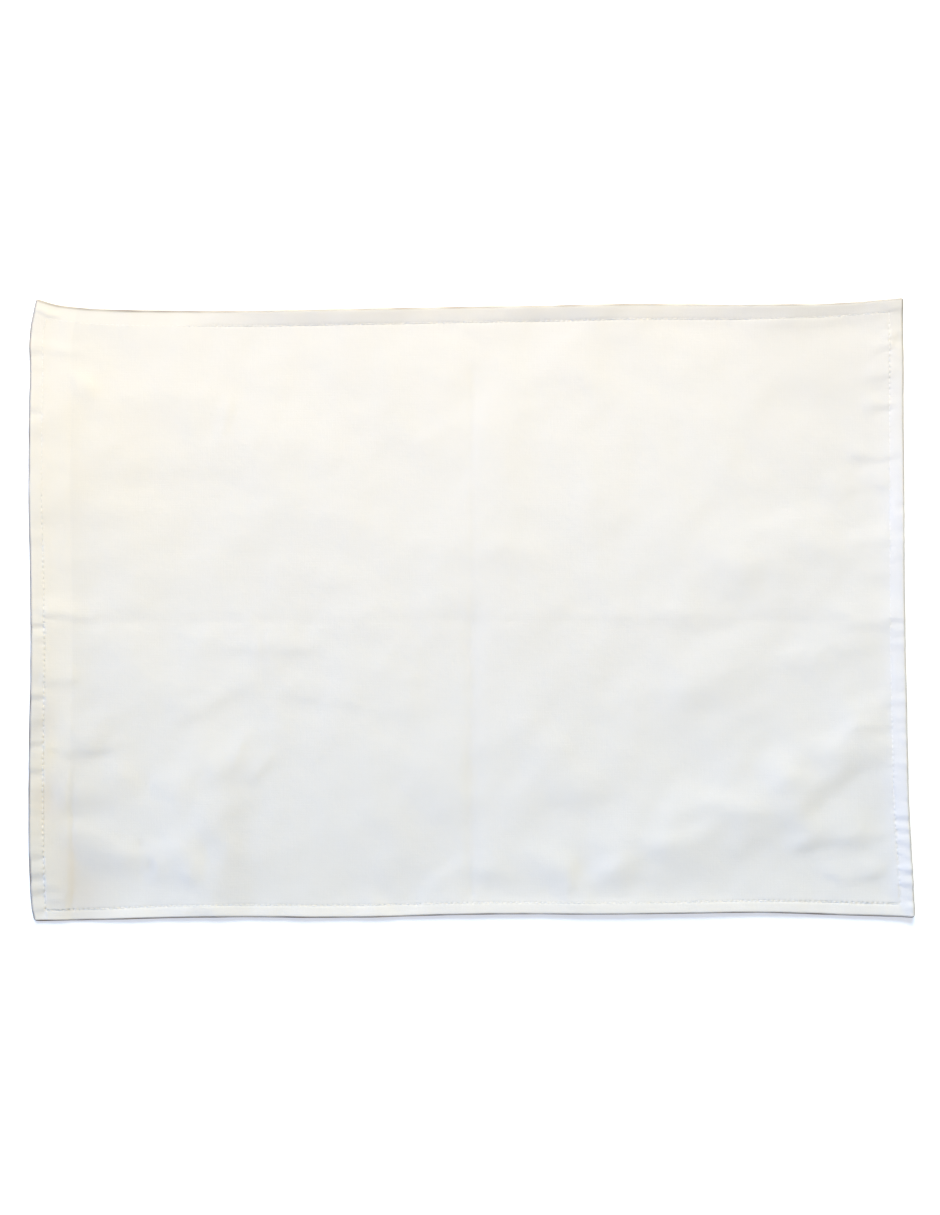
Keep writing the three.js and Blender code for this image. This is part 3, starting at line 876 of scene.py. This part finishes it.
cotton, tree = empty_material("white_cotton")
place = add_node(tree, "ShaderNodeTexCoord").outputs["Object"]
warp_slubs = cloud(tree, place, 1.0, stretch=warp_stretch)
weft_slubs = cloud(tree, place, 1.0, stretch=weft_stretch)
slubs = work_out(tree, "ADD", warp_slubs, weft_slubs)
limp_cloud = cloud(tree, place, limp_scale, detail=limp_detail)
relief = work_out(tree, "MULTIPLY", plain_weave(tree, place, thread_spacing), weave_relief)
relief = work_out(tree, "MULTIPLY_ADD", slubs, slub_relief, relief)
relief = work_out(tree, "MULTIPLY_ADD", limp_cloud, limp_relief, relief)
bump = add_node(tree, "ShaderNodeBump", {"Strength": 1.0, "Distance": 1.0}, {"Height": relief})
thickness = add_node(tree, "ShaderNodeAttribute", attribute_name="layers").outputs["Fac"]
fullness = work_out(tree, "SUBTRACT", thickness, 1.0)
fullness = work_out(tree, "MINIMUM", fullness, 1.0)
tone = blend_tones(tree, cloud(tree, place, tone_scale), single_tone, washed_tone)
tone = blend_tones(tree, fullness, tone, doubled_tone)
# Painted shade, painted warm shade, tan painted shade and the painted shadow on the rim are blended over
# the cloth's own tone
for name, mark_tone in (
    ("yellow", warm_shade_tone), ("grey", painted_shade_tone), ("tan", tan_shade_tone), ("rim_shade", rim_shadow_tone),
):
    amount = add_node(tree, "ShaderNodeAttribute", attribute_name=name).outputs["Fac"]
    tone = blend_tones(tree, amount, tone, mark_tone)
roughness = add_node(
    tree, "ShaderNodeMapRange", {"From Min": 0.7, "From Max": 1.3, "To Min": 0.82, "To Max": 0.94},
    {"Value": slubs},
).outputs[0]
surface = add_node(
    tree, "ShaderNodeBsdfPrincipled",
    {"IOR": 1.45, "Specular IOR Level": 0.25, "Sheen Weight": 0.06, "Sheen Roughness": 0.5},
    {"Base Color": tone, "Roughness": roughness, "Normal": bump.outputs["Normal"]},
)
add_node(tree, "ShaderNodeOutputMaterial", links={"Surface": surface.outputs["BSDF"]})
cotton_cloth.data.materials.append(cotton)

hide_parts("cloth")
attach(cotton_cloth, "root")

# Sewing thread. One row of white lockstitch runs along each hem, about 3 mm to a stitch.
# It lies in the dip that it draws in the cloth, and both its ends go down the needle holes.
# The second thread does the same on the underside.
thread_width = 0.27
thread_height = 0.20
thread_sides = 6
thread_bends = 6
top_thread_rise = 0.05
under_thread_rise = 0.04
end_dip = 0.34
stitch_share = 0.96


def stitch_row(count):
    """A straight row of stitches along x, one unit long each, with its middle at the origin."""
    stitches = bmesh.new()
    bmesh.ops.create_cone(
        stitches, cap_ends=True, segments=thread_sides, radius1=0.5, radius2=0.5, depth=stitch_share
    )
    half_stitch = stitch_share / 2
    lengthwise = [
        edge for edge in stitches.edges if abs(edge.verts[0].co.z - edge.verts[1].co.z) > half_stitch
    ]
    bmesh.ops.subdivide_edges(stitches, edges=lengthwise, cuts=thread_bends - 1, use_grid_fill=True)
    bmesh.ops.rotate(stitches, matrix=Matrix.Rotation(math.pi / 2, 3, "Y"), verts=stitches.verts[:])
    bmesh.ops.translate(stitches, vec=((1 - count) / 2, 0, 0), verts=stitches.verts[:])
    first = stitches.verts[:] + stitches.edges[:] + stitches.faces[:]
    bmesh.ops.spin(
        stitches, geom=first, cent=(0, 0, 0), axis=(0, 0, 1), dvec=(1, 0, 0), angle=0,
        steps=count - 1, use_duplicate=True,
    )
    return stitches


thread_form = bmesh.new()
thread_laps = []
for side in sides:
    half_side = half_length if side.name in ("far", "near") else half_width
    first_hole = -math.floor((half_side - seam_inset[side.meets[0]]) / side.pitch)
    last_hole = math.floor((half_side - seam_inset[side.meets[1]]) / side.pitch)
    for on_top in (True, False):
        row_form = stitch_row(last_hole - first_hole)
        row_mesh = bpy.data.meshes.new("stitch_row")
        row_form.to_mesh(row_mesh)
        row_form.free()
        units = np.empty(len(row_mesh.vertices) * 3)
        row_mesh.vertices.foreach_get("co", units)
        length, across, up = units.reshape(-1, 3).T
        along = side.pitch * (length + (first_hole + last_hole) / 2)
        from_first = length - (first_hole - last_hole) / 2
        in_stitch = 2 * (from_first - np.floor(from_first)) - 1
        inset = side.seam + across * thread_width
        if side.name in ("far", "near"):
            u, v = along, (half_width - inset) * (1 if side.name == "far" else -1)
        else:
            u, v = (half_length - inset) * (1 if side.name == "right" else -1), along
        thread_x, thread_y, thread_under, thread_top = lay_cloth(u, v, holes=False)
        dip = end_dip * np.abs(in_stitch) ** 3
        if on_top:
            sunk = thread_pull(u, v)
            thread_z = thread_top + top_thread_rise * sunk - dip + up * thread_height
        else:
            thread_z = np.maximum(thread_under - under_thread_rise + dip + up * thread_height, 0)
        row_points = np.stack([thread_x, thread_y, thread_z], axis=1) * MM
        row_mesh.vertices.foreach_set("co", row_points.ravel())
        thread_laps.append(np.stack([along, across, up], axis=1))
        thread_form.from_mesh(row_mesh)
        bpy.data.meshes.remove(row_mesh)

bmesh.ops.recalc_face_normals(thread_form, faces=thread_form.faces[:])
thread_mesh = bpy.data.meshes.new("sewing_thread")
thread_form.to_mesh(thread_mesh)
thread_form.free()
thread_mesh.shade_smooth()
lap = thread_mesh.attributes.new("lap", "FLOAT_VECTOR", "POINT")
lap.data.foreach_set("vector", np.concatenate(thread_laps).astype(np.float32).ravel())
sewing_thread = bpy.data.objects.new("sewing_thread", thread_mesh)
bpy.context.collection.objects.link(sewing_thread)

# Two-ply cotton thread: the plies wind round each other, so the bump runs round and along it
ply_lay = 0.55
ply_relief = 0.03 * MM
thread_tone_scale = 400.0
thread_tone = (0.85, 0.845, 0.83, 1)
thread_worn_tone = (0.81, 0.805, 0.79, 1)

white_thread, tree = empty_material("white_thread")
place = add_node(tree, "ShaderNodeTexCoord").outputs["Object"]
lap_place = add_node(tree, "ShaderNodeAttribute", attribute_name="lap").outputs["Vector"]
lap_parts = add_node(tree, "ShaderNodeSeparateXYZ", links={0: lap_place})
turn = work_out(tree, "ARCTAN2", lap_parts.outputs["Z"], lap_parts.outputs["Y"])
winding = work_out(tree, "MULTIPLY_ADD", lap_parts.outputs["X"], math.pi / ply_lay, turn)
plies = work_out(tree, "ABSOLUTE", work_out(tree, "SINE", winding))
ply_height = work_out(tree, "MULTIPLY", plies, ply_relief)
bump = add_node(tree, "ShaderNodeBump", {"Strength": 1.0, "Distance": 1.0}, {"Height": ply_height})
tone = blend_tones(tree, cloud(tree, place, thread_tone_scale), thread_worn_tone, thread_tone)
surface = add_node(
    tree, "ShaderNodeBsdfPrincipled",
    {"Roughness": 0.7, "IOR": 1.5, "Specular IOR Level": 0.3, "Sheen Weight": 0.05},
    {"Base Color": tone, "Normal": bump.outputs["Normal"]},
)
add_node(tree, "ShaderNodeOutputMaterial", links={"Surface": surface.outputs["BSDF"]})
sewing_thread.data.materials.append(white_thread)

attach(sewing_thread, "root")

# Table top: a plain pale surface, which the cloth lies on. It gives off a little light, and more
# further away, so that it looks nearly white all round.
table_reach = 14.0
pale_scale = 3.0
pale_tone = (0.975, 0.975, 0.975, 1)
pale_shade_tone = (0.965, 0.967, 0.97, 1)
near_glow = (0.24, 0.24, 0.24, 1)
far_glow = (0.62, 0.58, 0.54, 1)
glow_near_reach = 0.5
glow_far_reach = 1.5

table_form = bmesh.new()
bmesh.ops.create_grid(table_form, x_segments=4, y_segments=4, size=table_reach)
table_mesh = bpy.data.meshes.new("table_top")
table_form.to_mesh(table_mesh)
table_form.free()
table_top = bpy.data.objects.new("table_top", table_mesh)
bpy.context.collection.objects.link(table_top)

pale_surface, tree = empty_material("pale_surface")
place = add_node(tree, "ShaderNodeTexCoord").outputs["Object"]
tone = blend_tones(tree, cloud(tree, place, pale_scale), pale_shade_tone, pale_tone)
distance = add_node(tree, "ShaderNodeVectorMath", links={0: place}, operation="LENGTH").outputs["Value"]
distance = add_node(
    tree, "ShaderNodeMapRange", {"From Min": glow_near_reach, "From Max": glow_far_reach},
    {"Value": distance},
).outputs[0]
glow = blend_tones(tree, distance, near_glow, far_glow)
surface = add_node(
    tree, "ShaderNodeBsdfPrincipled",
    {"Roughness": 0.9, "Specular IOR Level": 0.1, "Emission Strength": 1.0},
    {"Base Color": tone, "Emission Color": glow},
)
add_node(tree, "ShaderNodeOutputMaterial", links={"Surface": surface.outputs["BSDF"]})
table_top.data.materials.append(pale_surface)

# Camera: straight above the cloth, with the photograph's frame.
view_height = 0.75
view_middle = (-0.0009, 0.0012)
frame_height = 0.7084
sensor = 36.0

camera_data = bpy.data.cameras.new("camera")
camera_data.sensor_width = sensor
camera_data.sensor_fit = "AUTO"
camera_data.lens = sensor * view_height / frame_height
camera = bpy.data.objects.new("camera", camera_data)
camera.location = (*view_middle, view_height)
bpy.context.collection.objects.link(camera)
bpy.context.scene.camera = camera

# Light: a warm soft lamp beyond the far side, a cool window far behind it, cool light from low
# on the left, and a pale room that is lighter near the horizon.
SoftLight = namedtuple("SoftLight", "name place aim size power tone")
soft_lights = [
    SoftLight("lamp", (-0.05, 1.1, 0.77), (0, 0.05, 0), 0.7, 18.3, (1.0, 0.73, 0.37)),
    SoftLight("window", (-0.05, 12.0, 9.6), (0, 0.05, 0), 6.0, 1270, (0.29, 0.66, 1.0)),
    SoftLight("low_left", (-10.5, -0.6, 2.25), (0, 0, 0), 3.6, 828, (0.04, 0.29, 1.0)),
]
room_horizon_tone = (0.95, 0.93, 0.88, 1)
room_overhead_tone = (0.42, 0.41, 0.378, 1)
horizon_reach = 0.5

for light in soft_lights:
    lamp_data = bpy.data.lights.new(light.name, "AREA")
    lamp_data.shape = "DISK"
    lamp_data.size = light.size
    lamp_data.energy = light.power
    lamp_data.color = light.tone
    lamp = bpy.data.objects.new(light.name, lamp_data)
    lamp.location = light.place
    lamp.rotation_euler = (Vector(light.aim) - Vector(light.place)).to_track_quat("-Z", "Y").to_euler()
    bpy.context.collection.objects.link(lamp)

room = bpy.data.worlds.new("pale_room")
room.use_nodes = True
tree = room.node_tree
tree.nodes.clear()
way = add_node(tree, "ShaderNodeTexCoord").outputs["Generated"]
height = add_node(tree, "ShaderNodeSeparateXYZ", links={0: way}).outputs["Z"]
height = add_node(tree, "ShaderNodeMapRange", {"From Max": horizon_reach}, {"Value": height}).outputs[0]
tone = blend_tones(tree, height, room_horizon_tone, room_overhead_tone)
background = add_node(tree, "ShaderNodeBackground", links={"Color": tone})
add_node(tree, "ShaderNodeOutputWorld", links={"Surface": background.outputs[0]})
bpy.context.scene.world = room
bpy.context.scene.view_settings.view_transform = "Standard"
